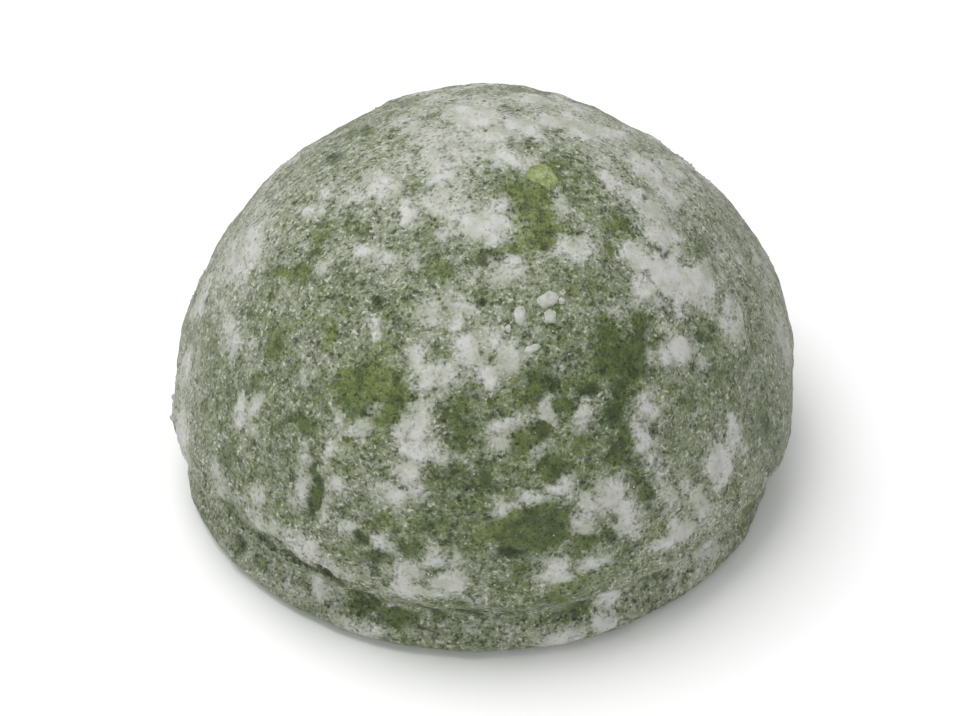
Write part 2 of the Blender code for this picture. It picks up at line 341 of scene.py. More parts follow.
def bareness_at(directions):
    """How bare, how hollow (metres), how dark (mostly painted shade) and how yellow the dough is."""
    bare = np.zeros(len(directions))
    hollow, dark_and_shade, yellow = bare.copy(), bare.copy(), bare.copy()
    for bearing, rise, width, height, slant, how_bare, deep, shade, tint in BARE_PLACES:
        depth = oval_depth(directions, bearing, rise, width, height, slant)
        inside = smooth_step(0.5 + depth / (BARE_EDGE * min(width, height)))
        bare = np.maximum(bare, how_bare * inside)
        hollow = np.maximum(hollow, deep * MM * inside)
        dark_and_shade = np.maximum(dark_and_shade, shade * inside)
        yellow += tint * inside
    return bare, hollow, dark_and_shade, np.clip(yellow, -1, 1)


def film_at(directions):
    """How thick the veil of starch is, before any noise."""
    film = np.full(len(directions), FILM_EVERYWHERE)
    for bearing, rise, width, height, more in FILM_AND_PAINTED_LIGHT_PLACES:
        depth = oval_depth(directions, bearing, rise, width, height)
        film += more * smooth_step(2 * depth / min(width, height))
    return film


def coarseness_at(directions):
    """How crumpled the skin is: 0 on most of it."""
    coarse = np.zeros(len(directions))
    for bearing, rise, width, height, more in COARSE_PLACES:
        depth = oval_depth(directions, bearing, rise, width, height)
        coarse = np.maximum(coarse, more * smooth_step(2 * depth / min(width, height)))
    return coarse


print("the film is", round(float(film_at(np.array([toward(0, 20)]))[0]), 2), "on the front and",
      round(float(film_at(np.array([toward(-80, 20)]))[0]), 2), "on the left")

# %% [markdown]
# The far side is harder to describe, because nobody points at it. The tables name only its largest
# drifts and bare places, and between them two more noises make patches of the same kind. They fade
# in past the sides and below the crown.

# %% Where the far side begins
BACK_BEARING = 95           # degrees from the front
BACK_BLEND = 30
BACK_RISE = 64              # the crown above this is seen from the front too
BACK_RISE_BLEND = 12


def at_the_back(directions):
    """1 on the far side of the cake, 0 where the tables name every place."""
    level = np.hypot(directions[:, 0], directions[:, 1])
    from_front = np.degrees(np.arccos(-directions[:, 1] / np.maximum(level, 0.001)))
    rise = np.degrees(np.arcsin(directions[:, 2]))
    return (smooth_step((from_front - BACK_BEARING) / BACK_BLEND)
            * smooth_step((BACK_RISE - rise) / BACK_RISE_BLEND))


print("the back counts", float(at_the_back(np.array([toward(180, 20)]))[0]), "and the front",
      float(at_the_back(np.array([toward(0, 20)]))[0]))

# %% [markdown]
# Tables and noise together give six numbers for every place. Wiping takes starch away from the
# drifts and the film alike, and the film is a little thicker in a halo round each drift.

# %% Everything about a place
FAR_FROM_DRIFTS = -9.0
ISLANDS = -2.0              # the caking away from all drifts: only the highest specks show
ISLANDS_IN_FILM = 2.4       # a thicker film has more islands
HALO_WIDTH = 4.0            # degrees
HALO_FILM = 0.12
WIPED_CAKING = 0.9          # what a wholly bare place loses
WIPED_FILM = 0.55
THINNEST_FILM = -0.5
#   blotch size in mm, strength, seed, octaves
CAKING_NOISE = ((2.4, 0.60, 1, 1), (1.1, 0.80, 2, 1))
CAKING_NOISE_AT_BACK = ((5.0, 2.6, 8, 2),)
FILM_NOISE = ((4.0, 0.10, 4, 1), (1.7, 0.12, 5, 2))
FILM_NOISE_AT_BACK = ((6.0, 0.30, 10, 2),)


def drifted_at(directions):
    """How far inside its drift each direction lies, in degrees, but no more than its fullness."""
    caking = np.full(len(directions), FAR_FROM_DRIFTS)
    for bearing, rise, width, height, slant, fullness in DRIFTS:
        depth = oval_depth(directions, bearing, rise, width, height, slant)
        caking = np.maximum(caking, np.minimum(depth, fullness))
    return caking


def surface_at(points):
    """What the tables and the noise say about each point, as arrays under their names.

    Caking is above 0 where starch is caked. Film goes up to 1, a closed veil; at 0 only about a
    fifth of it is left, and at its thinnest the dough is wiped nearly clean."""
    directions = directions_of(wavered(points))
    bare, hollow, dark_and_shade, yellow = bareness_at(directions)
    film = film_at(directions)
    caking = drifted_at(directions)
    halo = smooth_step(1 + caking / HALO_WIDTH)
    back = at_the_back(directions)
    islands = (ISLANDS + ISLANDS_IN_FILM * (film - FILM_EVERYWHERE)
               + back * unevenness(points, CAKING_NOISE_AT_BACK))
    caking = (np.maximum(caking, islands) + unevenness(points, CAKING_NOISE)
              - WIPED_CAKING * bare)
    film += (back * unevenness(points, FILM_NOISE_AT_BACK) + HALO_FILM * halo
             - WIPED_FILM * bare + unevenness(points, FILM_NOISE))
    return {"caking": caking, "film": np.clip(film, THINNEST_FILM, 1), "hollow": hollow,
            "dark_and_shade": dark_and_shade, "yellow": yellow, "coarse": coarseness_at(directions)}

# %% [markdown]
# ## The skin of the dough
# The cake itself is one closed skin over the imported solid. It needs a fine, even mesh, because
# the hand's lumps, the pimples of the dough and the little hollows are all real shape. A ball made
# from a cube has such a mesh, without the crowding that a turned shape has at its crown. Its
# corners are first spread out with a tangent, so that all its cells come out alike.
#
# The ball is then fitted to the cake by area. The dome above the belly, the band below it and the
# flat underside each get a share of the ball, and the underside, which nobody sees, a small one.

# %% A ball of even cells
SKIN_CUTS = 126             # 127 cells along each edge of the cube: just under 200,000 triangles
BASE_SHARE = 0.05           # the underside's share of the cells
BASE_RADIUS = 25.5 * MM
BAND_SLANT = 1.15           # how much longer the band is along its slant than straight up
base_rise = -math.degrees(math.atan2(BELLY_LEVEL - low.z, BASE_RADIUS))
dome_area = 2 * math.pi * BALL_RADIUS ** 2
band_area = 2 * math.pi * BALL_RADIUS * BAND_SLANT * BELLY_LEVEL
dome_share = (1 - BASE_SHARE) * dome_area / (dome_area + band_area)


def fitted_direction(spot):
    """Turns a spot on the cube into the direction from the heart that its share of area takes it."""
    ball = Vector([math.tan(side * math.pi / 4) for side in spot]).normalized()
    share = (1 - ball.z) / 2
    bearing = math.degrees(math.atan2(ball.x, -ball.y))
    if share < dome_share:
        return toward(bearing, math.degrees(math.asin(1 - share / dome_share)))
    if share < 1 - BASE_SHARE:
        way = (share - dome_share) / (1 - BASE_SHARE - dome_share)
        return toward(bearing, way * base_rise)
    inward = math.sqrt(max(0.0, (1 - share) / BASE_SHARE))
    return toward(bearing, -math.degrees(math.atan2(BELLY_LEVEL - low.z, inward * BASE_RADIUS)))


print("the dome gets", round(100 * dome_share), "% of the cells and the underside",
      round(100 * BASE_SHARE), "%")

# %% [markdown]
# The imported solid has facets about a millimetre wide, which would show in a skin as fine as this.
# So the skin is pressed against a copy with its facets merged and smoothly subdivided. A tree of
# the copy's faces tells quickly where a ray from the heart meets it.

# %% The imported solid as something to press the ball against
def pressing_form():
    """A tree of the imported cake's faces, merged and smoothly subdivided, to cast rays at."""
    form = bpy.data.objects.new("form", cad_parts[CAKE].data.copy())
    bpy.context.scene.collection.objects.link(form)
    bm = bmesh.new()
    bm.from_mesh(form.data)
    bmesh.ops.remove_doubles(bm, verts=bm.verts, dist=0.01 * MM)
    bmesh.ops.recalc_face_normals(bm, faces=bm.faces)
    bmesh.ops.join_triangles(bm, faces=bm.faces, angle_face_threshold=0.6,
                             angle_shape_threshold=1.2)
    bm.to_mesh(form.data)
    bm.free()
    smooth = form.modifiers.new("smooth", "SUBSURF")
    smooth.levels = smooth.render_levels = 2
    tree = BVHTree.FromObject(form, bpy.context.evaluated_depsgraph_get())
    bpy.data.objects.remove(form)
    return tree


form_tree = pressing_form()
form_top = form_tree.ray_cast(HEART, toward(0, 90))[0]
print("the form's crown lies", round((form_top.z - low.z) / MM, 2), "mm above the table")

# %% [markdown]
# Fitted to the solid, the skin gets its unevenness in steps: broad lumps from the hands, dimples
# a few millimetres wide, and pimples about a millimetre wide where grains of rice are left in the
# dough. The hollows of the bare places are pressed in. The caked drifts are a crust of packed
# powder a tenth of a millimetre thick, flush with the dough at its edges, so it is raised on the
# same skin. Everything fades out towards the table, because the underside lies flat on it. The
# crease above the foot is the dough folding over itself, and it is soft, so it is rounded first.

# %% The unevenness of the dough
#   blotch size and height in mm, seed, octaves
RELIEF = ((7.0, 0.20, 11, 1), (3.2, 0.11, 12, 1), (1.5, 0.065, 13, 1), (0.8, 0.050, 14, 1))
CRUST_HEIGHT = 0.10 * MM
CRUST_SLOPE = 0.8           # the crust rises from this caking below 0 to this caking above it
TABLE_FADE = 1.6 * MM       # the relief fades out this near to the table


def relief_at(points, surface):
    """How far the surface stands out (+) or in (-) at each point of the plain form."""
    crust = CRUST_HEIGHT * smooth_step((surface["caking"] + CRUST_SLOPE) / (2 * CRUST_SLOPE))
    fade = smooth_step((points[:, 2] - low.z) / TABLE_FADE)
    return (unevenness(points, RELIEF) * MM - surface["hollow"] + crust) * fade


print("the lumps alone reach", round(sum(row[1] for row in RELIEF), 2), "mm where all of them meet")

# %% [markdown]
# Meshes are read and written whole, as arrays, because point by point would take minutes. A number
# kept on every point of a mesh, a named attribute, is how a material or a node tree learns later
# where the starch lies.

# %% Helpers for meshes
def points_of(mesh):
    """All points of a mesh, as an array."""
    flat = np.empty(len(mesh.vertices) * 3, np.float32)
    mesh.vertices.foreach_get("co", flat)
    return flat.reshape(-1, 3).astype(float)


def normals_of(mesh):
    """The smooth normals at all points of a mesh."""
    flat = np.empty(len(mesh.vertices) * 3, np.float32)
    mesh.vertex_normals.foreach_get("vector", flat)
    return flat.reshape(-1, 3).astype(float)


def keep_values(mesh, name, values):
    """Keeps one number for each point in the mesh, where a material or a node tree can read it."""
    layer = mesh.attributes.get(name) or mesh.attributes.new(name, "FLOAT", "POINT")
    layer.data.foreach_set("value", np.asarray(values, np.float32))


def new_piece(name, bm):
    """Turns a bmesh into an object at the origin."""
    mesh = bpy.data.meshes.new(name)
    bm.to_mesh(mesh)
    bm.free()
    piece = bpy.data.objects.new(name, mesh)
    bpy.context.scene.collection.objects.link(piece)
    return piece


def triangles_in(piece):
    return sum(len(face.vertices) - 2 for face in piece.data.polygons)

# %% [markdown]
# Now the skin itself: a cube, cut into cells, sent out along its fitted directions until it meets
# the form, and evened out. The crease is then softened much more than the rest. Only after that
# does the skin learn what lies on it, and gets its relief along its own normals.

# %% Press the ball onto the form
EVENING_PASSES = 6
CREASE = (2.8 * MM, 7.2 * MM)       # between these levels the crease above the foot runs round
CREASE_PASSES = 90


def soften(bm, verts, passes):
    """Moves points halfway towards the middle of their neighbours, over and over."""
    for _ in range(passes):
        bmesh.ops.smooth_vert(bm, verts=verts, factor=0.5, use_axis_x=True, use_axis_y=True,
                              use_axis_z=True)


def make_skin():
    bm = bmesh.new()
    bmesh.ops.create_cube(bm, size=2)
    bmesh.ops.subdivide_edges(bm, edges=bm.edges, cuts=SKIN_CUTS, use_grid_fill=True)
    for vert in bm.verts:
        direction = fitted_direction(vert.co)
        hit, _, _, _ = form_tree.ray_cast(HEART, direction)
        vert.co = hit if hit else HEART + direction * BALL_RADIUS
    soften(bm, bm.verts, EVENING_PASSES)
    in_crease = [vert for vert in bm.verts if CREASE[0] < vert.co.z - low.z < CREASE[1]
                 and vert.co.xy.length > BASE_RADIUS - 2 * MM]
    soften(bm, in_crease, CREASE_PASSES)
    bmesh.ops.recalc_face_normals(bm, faces=bm.faces)
    skin = new_piece("dough_skin", bm)
    points = points_of(skin.data)
    surface = surface_at(points)
    for layer, values in surface.items():
        keep_values(skin.data, layer, values)
    points += normals_of(skin.data) * relief_at(points, surface)[:, None]
    points[:, 2] = np.maximum(points[:, 2], low.z)
    skin.data.vertices.foreach_set("co", points.astype(np.float32).ravel())
    skin.data.update()
    skin.data.shade_smooth()
    return skin, surface


dough_skin, skin_surface = make_skin()
skin_points = points_of(dough_skin.data)
print("the skin has", triangles_in(dough_skin), "triangles;",
      round(100 * float((skin_surface["caking"] > 0).mean())), "% of it is caked")

# %% [markdown]
# ## Loose starch
# Everything else that is white is loose: dust finer than a grain of salt, grains, and little
# clumps of grains. They come in kinds, and each kind is one shape of a few faces that a node tree
# scatters over the cake. How many land somewhere is read from the same film and caking as before,
# so the grains thicken towards the drifts and thin out over the bare places. The instances are
# made real at the end, because only real mesh is part of the model.
#
# Dust follows the film. Grains also gather at the drifts, and clumps stay where there is both. A
# little of each lies even on a bare place, and none so low that it would reach into the table.

# %% Where the loose starch stays
CLEAR_FROM = 0.3 * MM       # above the table
CLEAR_BLEND = 0.6 * MM
DRIFT_REACH = 1.2           # degrees outside a drift
clear_of_table = smooth_step((skin_points[:, 2] - low.z - CLEAR_FROM) / CLEAR_BLEND)
near_drift = smooth_step(1 + skin_surface["caking"] / DRIFT_REACH)
film = np.clip(skin_surface["film"], 0, 1)
for layer, values in (
        ("dusty", 0.03 + 0.97 * film ** 1.5),
        ("grainy", 0.02 + 0.48 * film ** 2 + 0.5 * near_drift),
        ("clumpy", 0.02 + 0.10 * film ** 2 + 0.6 * near_drift * film)):
    keep_values(dough_skin.data, layer, clear_of_table * values)
    print(layer, "on average:", round(float((clear_of_table * values).mean()), 2))

# %% [markdown]
# The tree reads the share of a kind from the skin, turns it into a density, drops points, and puts
# a grain on each, turned and sized at random from a seed.

# %% A node tree that scatters one kind of grain
def add_node(tree, kind, **settings):
    """A node with some of its settings or, by the socket's name, its values."""
    made = tree.nodes.new(kind)
    for name, value in settings.items():
        if hasattr(made, name):
            setattr(made, name, value)
        else:
            made.inputs[name.title()].default_value = value
    return made


def scatter(name, grain, per_square_mm, where, sizes, seed):
    """Scatters copies of grain over the skin, and returns them as one real mesh."""
    tree = bpy.data.node_groups.new(name, "GeometryNodeTree")
    for in_out in ("INPUT", "OUTPUT"):
        tree.interface.new_socket(name="Geometry", in_out=in_out,
                                  socket_type="NodeSocketGeometry")
    start = add_node(tree, "NodeGroupInput")
    end = add_node(tree, "NodeGroupOutput")
    share = add_node(tree, "GeometryNodeInputNamedAttribute", data_type="FLOAT")
    share.inputs["Name"].default_value = where
    density = add_node(tree, "ShaderNodeMath", operation="MULTIPLY")
    density.inputs[1].default_value = per_square_mm / MM ** 2
    spread = add_node(tree, "GeometryNodeDistributePointsOnFaces", distribute_method="RANDOM",
                      seed=seed)
    turn = add_node(tree, "FunctionNodeRandomValue", data_type="FLOAT_VECTOR", seed=seed + 1)
    turn.inputs["Max"].default_value = (math.tau, math.tau, math.tau)
    size = add_node(tree, "FunctionNodeRandomValue", data_type="FLOAT", seed=seed + 2)
    smallest, largest = [socket for socket in size.inputs if socket.type == "VALUE"][:2]
    smallest.default_value, largest.default_value = sizes
    shape = add_node(tree, "GeometryNodeObjectInfo")
    shape.inputs["Object"].default_value = grain
    place = add_node(tree, "GeometryNodeInstanceOnPoints")
    real = add_node(tree, "GeometryNodeRealizeInstances")
    for source, target in (
            (start.outputs["Geometry"], spread.inputs["Mesh"]),
            (share.outputs["Attribute"], density.inputs[0]),
            (density.outputs[0], spread.inputs["Density"]),
            (spread.outputs["Points"], place.inputs["Points"]),
            (shape.outputs["Geometry"], place.inputs["Instance"]),
            (turn.outputs[0], place.inputs["Rotation"]),
            (size.outputs["Value"], place.inputs["Scale"]),
            (place.outputs["Instances"], real.inputs["Geometry"]),
            (real.outputs["Geometry"], end.inputs["Geometry"])):
        tree.links.new(source, target)
    carrier = bpy.data.objects.new(name, dough_skin.data)
    bpy.context.scene.collection.objects.link(carrier)
    modifier = carrier.modifiers.new("scatter", "NODES")
    modifier.node_group = tree
    depsgraph = bpy.context.evaluated_depsgraph_get()
    mesh = bpy.data.meshes.new_from_object(carrier.evaluated_get(depsgraph))
    mesh.name = name
    carrier.modifiers.clear()
    carrier.data = mesh
    bpy.data.objects.remove(grain)
    print(name, "has", triangles_in(carrier), "triangles")
    return carrier

# %% [markdown]
# A speck of dust is two blunt pyramids set base to base, eight faces in all. A grain has twenty
# faces and a clump eighty. All are squashed a little, so that they don't look like beads.

# %% The kinds of loose starch
def dust_speck():
    bm = bmesh.new()
    bmesh.ops.create_uvsphere(bm, u_segments=4, v_segments=2, radius=0.5)
    bmesh.ops.scale(bm, vec=(1.0, 0.8, 0.65), verts=bm.verts)
    return new_piece("speck", bm)


def starch_grain():
    bm = bmesh.new()
    bmesh.ops.create_icosphere(bm, subdivisions=1, radius=0.5)
    for vert in bm.verts:
        vert.co *= 1 + 0.25 * noise.noise(vert.co * 2.3)
    bmesh.ops.scale(bm, vec=(1.0, 0.85, 0.65), verts=bm.verts)
    return new_piece("grain", bm)


def starch_clump():
    bm = bmesh.new()
    bmesh.ops.create_icosphere(bm, subdivisions=2, radius=0.5)
    for vert in bm.verts:
        vert.co *= 1 + 0.6 * noise.noise(vert.co * 3.1 + Vector((4.2, 0.3, 1.7)))
    bmesh.ops.scale(bm, vec=(1.0, 0.9, 0.6), verts=bm.verts)
    return new_piece("clump", bm)


#   name, shape, how many on a square millimetre at most, where, smallest and largest, seed
starch_dust = scatter("starch_dust", dust_speck(), 3.0, "dusty", (0.07 * MM, 0.16 * MM), 31)
starch_grains = scatter("starch_grains", starch_grain(), 1.4, "grainy", (0.12 * MM, 0.28 * MM), 41)
starch_clumps = scatter("starch_clumps", starch_clump(), 0.25, "clumpy", (0.25 * MM, 0.5 * MM), 51)

# %% [markdown]
# ## Lumps that can be told apart
# A few crumbs of starch on the front are large enough to be seen one by one, and high on the
# right a shred of leaf stands out of the dough as a pale nub. Each is a ball pulled along, made
# lumpy with noise and pressed at least halfway into the dough.

# %% Place a lump on the skin
def lump(bm, bearing, rise, width, height, thick, sink, slant, seed, roughness):
    """Adds a lumpy ball to the bmesh, its middle sunk into the skin. Width and height are in
    degrees, thick and sink in metres."""
    start = len(bm.verts)
    direction = toward(bearing, rise)
    hit, normal, _, _ = skin_tree.ray_cast(HEART, direction)
    bmesh.ops.create_icosphere(bm, subdivisions=4, radius=0.5)
    bm.verts.ensure_lookup_table()
    mine = bm.verts[start:]
    for vert in mine:
        bumps = noise.fractal(vert.co * 2.4 + Vector((seed * 3.3, 0, 0)), 0.9, 2.0, 2)
        vert.co *= 1 + roughness * bumps
    east = toward(bearing + 90, 0)
    frame_up = normal.cross(east).normalized()
    frame_east = frame_up.cross(normal)
    place = Matrix((frame_east, frame_up, normal)).transposed().to_4x4()
    place.translation = hit - normal * sink
    size = BALL_RADIUS * DEGREE
    bmesh.ops.scale(bm, vec=(width * size, height * size, thick), verts=mine)
    bmesh.ops.rotate(bm, cent=(0, 0, 0), matrix=Matrix.Rotation(slant * DEGREE, 3, "Z"), verts=mine)
    bmesh.ops.transform(bm, matrix=place, verts=mine)


skin_tree = BVHTree.FromPolygons([tuple(point) for point in skin_points],
                                 [tuple(face.vertices) for face in dough_skin.data.polygons])

# %% [markdown]
# The crumbs lie close together, like something that fell off a spoon. They are flat, with their
# middles just under the skin. The nub is the largest lump. Most of it is in the dough, so that
# only its rounded top shows.

# %% The crumbs of starch and the nub of leaf
CRUMB_THICK = 0.6 * MM
CRUMB_SINK = 0.06 * MM
CRUMB_ROUGHNESS = 0.26
NUB_THICK = 1.1 * MM
NUB_SINK = 0.36 * MM
#   bearing, rise, width, height and slant in degrees
CRUMBS = (
    (21, 57, 4.2, 2.6, 10), (11, 55, 2.2, 3.6, -10), (20, 54, 2.2, 2.8, 5),
    (13, 49, 3.2, 1.6, 10), (25, 56, 1.4, 1.2, 0), (7, 53, 1.2, 1.4, 0),
)


def make_crumbs():
    bm = bmesh.new()
    for number, (bearing, rise, width, height, slant) in enumerate(CRUMBS):
        lump(bm, bearing, rise, width, height, CRUMB_THICK, CRUMB_SINK, slant,
             seed=number + 1, roughness=CRUMB_ROUGHNESS)
    crumbs = new_piece("starch_crumbs", bm)
    crumbs.data.shade_smooth()
    return crumbs


def make_nub():
    bm = bmesh.new()
    lump(bm, 67, 78, 7.0, 6.5, NUB_THICK, NUB_SINK, 25, seed=9, roughness=0.18)
    nub = new_piece("dough_nub", bm)
    nub.data.shade_smooth()
    return nub


starch_crumbs = make_crumbs()
dough_nub = make_nub()
print("crumbs:", triangles_in(starch_crumbs), "nub:", triangles_in(dough_nub), "triangles")

# %% [markdown]
# ## Finishes
# Every finish here is a tree of nodes, wired in code. A few helpers keep that short. Each makes one
# node, or a chain of them, and returns the socket where its result comes out, so that the calls
# can be nested like a sum.

# %% Helpers for node trees
def link_all(tree, *pairs):
    for source, target in pairs:
        tree.links.new(source, target)


def math_node(tree, operation, first, second):
    """A Math node whose inputs are sockets or plain numbers; returns its output."""
    made = tree.nodes.new("ShaderNodeMath")
    made.operation = operation
    for socket, value in zip(made.inputs, (first, second)):
        if isinstance(value, (int, float)):
            socket.default_value = value
        else:
            tree.links.new(value, socket)
    return made.outputs[0]


def noise_node(tree, coordinates, size, detail, roughness=0.5):
    """Noise whose blotches are about size across, in metres; returns its factor."""
    made = tree.nodes.new("ShaderNodeTexNoise")
    made.inputs["Scale"].default_value = 1 / size
    made.inputs["Detail"].default_value = detail
    made.inputs["Roughness"].default_value = roughness
    tree.links.new(coordinates, made.inputs["Vector"])
    return made.outputs["Fac"]


def weighed(tree, factor, weight):
    """A noise's factor turned to swing about 0, and scaled."""
    return math_node(tree, "MULTIPLY", math_node(tree, "SUBTRACT", factor, 0.5), weight)


def with_swings(tree, value, *swings):
    """The value plus some noises, each weighed; swings are pairs of a factor and a weight."""
    for factor, weight in swings:
        value = math_node(tree, "ADD", value, weighed(tree, factor, weight))
    return value


def remap(tree, value, low_end, high_end, low_result=0.0, high_result=1.0, kind="LINEAR"):
    """The value stretched so that its low end and high end give the two results, and no more."""
    made = tree.nodes.new("ShaderNodeMapRange")
    made.interpolation_type = kind
    tree.links.new(value, made.inputs["Value"])
    made.inputs["From Min"].default_value = low_end
    made.inputs["From Max"].default_value = high_end
    made.inputs["To Min"].default_value = low_result
    made.inputs["To Max"].default_value = high_result
    return made.outputs["Result"]

# %% [markdown]
# ## The film of starch, as a shader
# The film is too thin to be shape. It is a veil of single grains: here they lie close, there the
# green shows between them. So it is a mask that is worked out in space.
#
# Seen close, the skin is all grit about a third of a millimetre across: bits of rice and leaf
# with dust rolled over them. Noise of several sizes makes it: mottles, fine grains, specks of
# starch, and pits where none has stuck. They are added to how thick the film is, which the skin
# carries as a value at each point, and the veil closes where the total is high. The crusts get
# their edges the same way, from the value that says how caked the starch is.
#
# The third output, the grit, is painted light and shade of the grains: painted shade in the gaps
# between them and in the pits, and a painted glint on the specks. It makes the colour that lies
# there brighter or darker and leaves its hue alone. The same swing also feeds the bump. It is
# calmest on a crust, where the starch has filled the hollows, and strongest where the skin is
# coarse. The whole recipe is a node group, so that it stands in one place and only its four
# results reach the material.

# %% The group: how much starch covers a spot
FILM_OUTPUTS = ("Cover", "Crust", "Grit light and shade", "Height")
#   blotch size in mm, detail, roughness
MOTTLES = (0.75, 2, 0.5)
EDGES = (1.3, 2, 0.45)
FINE = (0.24, 2, 0.5)
GRAINS = (0.34, 1, 0.5)
PITS = (0.65, 1, 0.5)
SPECKS_AND_GLINTS = (0.36, 1, 0.5)
THIN_VEIL, CLOSED_VEIL = -0.40, 0.95        # the levels between which the cover closes
OPEN_CRUST, SOLID_CRUST = -1.70, 1.35       # the cakings between which the crust closes
# how strong the grit's bump and its painted light and shade are on the dough and on a crust
GRIT_ON_DOUGH, GRIT_ON_CRUST = 1.05, 0.22


def make_film_group():
    tree = bpy.data.node_groups.new("starch film", "ShaderNodeTree")
    for name, value in (("Film", 0.5), ("Caking", -2.0), ("Coarse", 0.0)):
        made = tree.interface.new_socket(name=name, in_out="INPUT",
                                         socket_type="NodeSocketFloat")
        made.default_value = value
    for name in FILM_OUTPUTS:
        tree.interface.new_socket(name=name, in_out="OUTPUT", socket_type="NodeSocketFloat")
    start = tree.nodes.new("NodeGroupInput")
    end = tree.nodes.new("NodeGroupOutput")
    place = tree.nodes.new("ShaderNodeTexCoord").outputs["Object"]
    mottles, edges, fine, grains, pits, specks_and_glints = [
        noise_node(tree, place, size * MM, detail, roughness)
        for size, detail, roughness in (MOTTLES, EDGES, FINE, GRAINS, PITS, SPECKS_AND_GLINTS)]
    pits = remap(tree, pits, 0.34, 0.22, 0.0, 0.8)
    stuck = remap(tree, start.outputs["Film"], -0.35, 0.15, 0.30, 1.0)
    specks_and_glints = math_node(tree, "MULTIPLY", remap(tree, specks_and_glints, 0.57, 0.73), stuck)

    level = with_swings(tree, start.outputs["Film"], (mottles, 1.3), (fine, 0.7))
    level = math_node(tree, "SUBTRACT", level, pits)
    level = math_node(tree, "ADD", level, math_node(tree, "MULTIPLY", specks_and_glints, 0.6))
    cover = remap(tree, level, THIN_VEIL, CLOSED_VEIL, kind="SMOOTHSTEP")

    caked = with_swings(tree, start.outputs["Caking"], (edges, 2.6), (grains, 2.2))
    crust = remap(tree, caked, OPEN_CRUST, SOLID_CRUST, kind="SMOOTHSTEP")

    sunken = with_swings(tree, grains, (mottles, 0.4))
    # painted shade in the gaps between the grains and in the pits
    shaded_gaps = math_node(tree, "MAXIMUM", remap(tree, sunken, 0.46, 0.26, kind="SMOOTHSTEP"), pits)
    grit_relief_and_shade = math_node(tree, "ADD", weighed(tree, fine, 0.90),
                      math_node(tree, "MULTIPLY", shaded_gaps, -0.48))
    # the specks also get a painted glint
    grit_relief_and_shade = math_node(tree, "ADD", grit_relief_and_shade, math_node(tree, "MULTIPLY", specks_and_glints, 0.30))
    strength = math_node(tree, "ADD", math_node(tree, "MULTIPLY", start.outputs["Coarse"], 1.3),
                         remap(tree, crust, 0, 1, GRIT_ON_DOUGH, GRIT_ON_CRUST))
    swing = math_node(tree, "MULTIPLY", grit_relief_and_shade, strength)
    grit_light_and_shade = math_node(tree, "ADD", swing, 1.04)
    height = math_node(tree, "ADD", swing, math_node(tree, "MULTIPLY", crust, 0.4))
    height = with_swings(tree, height, (mottles, 0.4))
    for name, result in zip(FILM_OUTPUTS, (cover, crust, grit_light_and_shade, height)):
        tree.links.new(result, end.inputs[name])
    print(tree.name, "has", len(tree.nodes), "nodes and gives", ", ".join(FILM_OUTPUTS))
    return tree


film_group = make_film_group()


def add_film(tree, film, caking, coarse):
    """Places the group in a material, fed by three sockets; returns its outputs."""
    made = tree.nodes.new("ShaderNodeGroup")
    made.node_tree = film_group
    link_all(tree, (film, made.inputs["Film"]), (caking, made.inputs["Caking"]),
             (coarse, made.inputs["Coarse"]))
    return [made.outputs[name] for name in FILM_OUTPUTS]

# %% [markdown]
# ## The dough
# Ground leaf makes the dough green, but not evenly: it is yellower where the rice dominates,
# bluer and darker where there is more leaf, and it is flecked with dark bits of leaf. It is soft
# and slightly see-through, so a little light goes under its surface. Bare, it is damp enough to
# glint; under starch it is quite dull.
#
# The colours are mixed in the order in which they lie: dough, leaf bits, film, crust. The grit's
# painted light and shade comes last, because it falls on whatever is on top.

# %% Colours, and helpers for materials
DOUGH_GREEN = (0.086, 0.118, 0.032, 1)
DOUGH_YELLOW = (0.135, 0.170, 0.043, 1)
DOUGH_BLUISH = (0.052, 0.090, 0.036, 1)
# the colour of dark bits of leaf, and of the painted shade in hollows and the crease
DOUGH_DARK_AND_SHADE = (0.018, 0.030, 0.008, 1)
NUB_GREEN = (0.13, 0.18, 0.04, 1)
NUB_PALE = (0.29, 0.34, 0.12, 1)
STARCH = (0.465, 0.465, 0.445, 1)
FILM_STARCH = (0.345, 0.358, 0.295, 1)      # one grain thick, the green shows through


def mix_colours(tree, share, first, second):
    """Mixes two colours, each a socket or a plain colour; returns the result."""
    made = tree.nodes.new("ShaderNodeMix")
    made.data_type = "RGBA"
    tree.links.new(share, made.inputs["Factor"])
    colours = [socket for socket in made.inputs if socket.type == "RGBA"]
    for socket, value in zip(colours, (first, second)):
        if isinstance(value, tuple):
            socket.default_value = value
        else:
            tree.links.new(value, socket)
    return [socket for socket in made.outputs if socket.type == "RGBA"][0]


def brightened(tree, colour, brightness):
    """The colour made brighter or darker, by a socket whose middle is 1."""
    made = tree.nodes.new("ShaderNodeVectorMath")
    made.operation = "SCALE"
    link_all(tree, (colour, made.inputs[0]), (brightness, made.inputs["Scale"]))
    return made.outputs[0]


def value_of(tree, name):
    """The number that the mesh carries at each point under this name."""
    made = tree.nodes.new("ShaderNodeAttribute")
    made.attribute_name = name
    return made.outputs["Fac"]


def bumped(tree, height, distance, strength=1.0):
    """The surface's normal, tilted as if the height stood up by the distance."""
    made = tree.nodes.new("ShaderNodeBump")
    made.inputs["Distance"].default_value = distance
    made.inputs["Strength"].default_value = strength
    tree.links.new(height, made.inputs["Height"])
    return made.outputs["Normal"]


def let_light_in(shader, weight):
    """Lets this share of the light go half a millimetre under the surface, as in rice dough."""
    shader.inputs["Subsurface Weight"].default_value = weight
    shader.inputs["Subsurface Radius"].default_value = (0.8, 1.0, 0.4)
    shader.inputs["Subsurface Scale"].default_value = 0.5 * MM


def new_material(name):
    """An empty material, with its node tree and its shader."""
    material = bpy.data.materials.new(name)
    material.use_nodes = True
    return material, material.node_tree, material.node_tree.nodes["Principled BSDF"]

